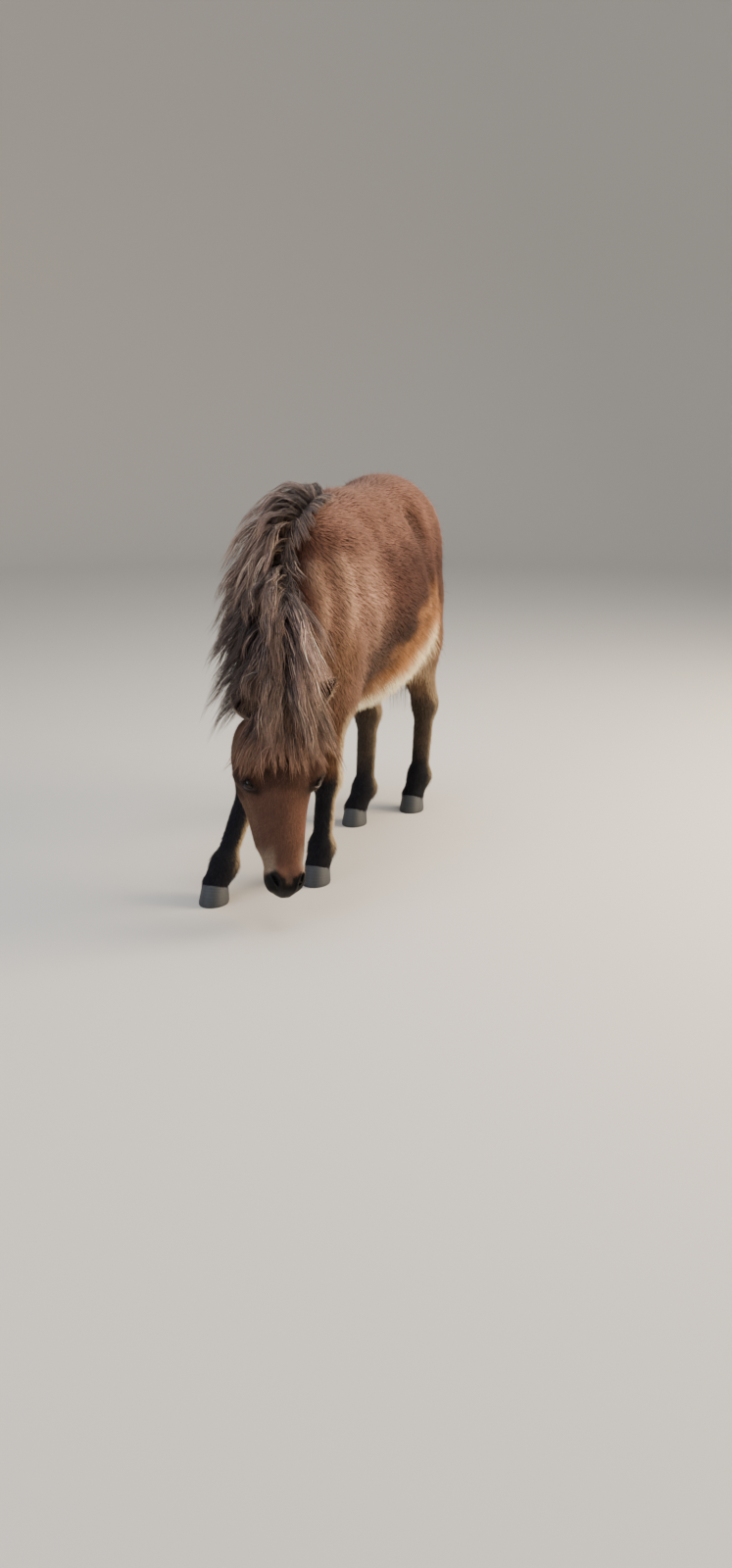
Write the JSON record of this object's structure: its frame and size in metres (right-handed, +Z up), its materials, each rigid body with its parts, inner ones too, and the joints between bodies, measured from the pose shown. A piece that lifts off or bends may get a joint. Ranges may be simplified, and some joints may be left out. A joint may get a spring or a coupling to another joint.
{
  "type": "shetland pony",
  "caption": "Life-size still model of a small plush-coated pony that stands and grazes with its head down and turned a little to its left.",
  "frame": {"origin": "centre of the model's box seen from above, on the floor under the hooves", "axes": "+Z up; the pony faces -Y and its own left side is +X"},
  "size_m": [0.415, 1.2254, 0.9422],
  "materials": {
    "coat": "dense plush reddish-brown winter coat, pale cream under the belly",
    "dark_coat": "short blackish-brown coat with cream fringes",
    "long_hair": "long dark hair with sun-bleached tan strands",
    "eye": "wet, nearly black",
    "hoof": "dull dark grey horn with fine rings"
  },
  "bodies": {
    "root": {"torso": "coat", "neck": "coat", "head": "coat", "ear_left": "dark_coat", "ear_right": "dark_coat", "eye_left": "eye", "eye_right": "eye", "tail": "long_hair", "foreleg_left": "dark_coat", "foreleg_right": "dark_coat", "hindleg_left": "dark_coat", "hindleg_right": "dark_coat", "forehoof_left": "hoof", "forehoof_right": "hoof", "hindhoof_left": "hoof", "hindhoof_right": "hoof"}
  },
  "joints": []
}
